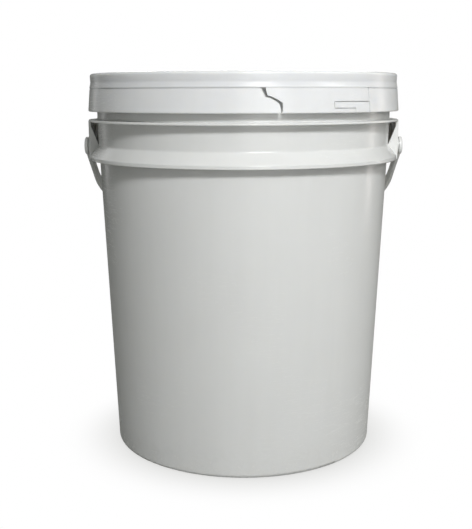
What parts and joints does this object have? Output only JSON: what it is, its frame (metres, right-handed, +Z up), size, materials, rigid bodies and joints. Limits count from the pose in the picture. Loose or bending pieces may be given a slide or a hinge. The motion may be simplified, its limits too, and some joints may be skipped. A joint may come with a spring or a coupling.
{
  "type": "pail with lid",
  "caption": "Straight-sided plastic pail with a press-fit tear-strip lid, two outside rings, side ears and a swinging bail handle.",
  "frame": {"origin": "on the pail's axis at the ground, under the foot ring", "axes": "+Z up along the pail's axis, -Y towards the front with the lid's pull tab to the right, +X and -X through the bail's ears"},
  "size_m": [0.3172, 0.3088, 0.369],
  "materials": {
    "pail_plastic": "satin white moulded polyethylene",
    "lid_plastic": "satin white moulded polyethylene, a little brighter",
    "bail_plastic": "satin white moulded polyethylene",
    "gasket_rubber": "pale foamed rubber"
  },
  "bodies": {
    "pail": {"pail_body": "pail_plastic"},
    "bail": {"bail_handle": "bail_plastic"},
    "lid": {"lid_shell": "lid_plastic", "tear_strip": "lid_plastic", "lid_gasket": "gasket_rubber"},
    "tab": {"pull_tab": "lid_plastic"}
  },
  "joints": [
    {"name": "bail_swing", "type": "hinge", "parent": "pail", "child": "bail", "pos_m": [0, 0, 0.299], "axis": [1, 0, 0], "range_deg": [0, 247.6]},
    {"name": "lid_lift", "type": "slide", "parent": "pail", "child": "lid", "axis": [0, 0, 1], "range_m": [0, 0.06]},
    {"name": "tab_pull", "type": "hinge", "parent": "lid", "child": "tab", "pos_m": [0.11047, -0.10302, 0.3384], "axis": [0, 0, 1], "range_deg": [0, 60], "stiffness_Nm_per_rad": 0.03}
  ]
}
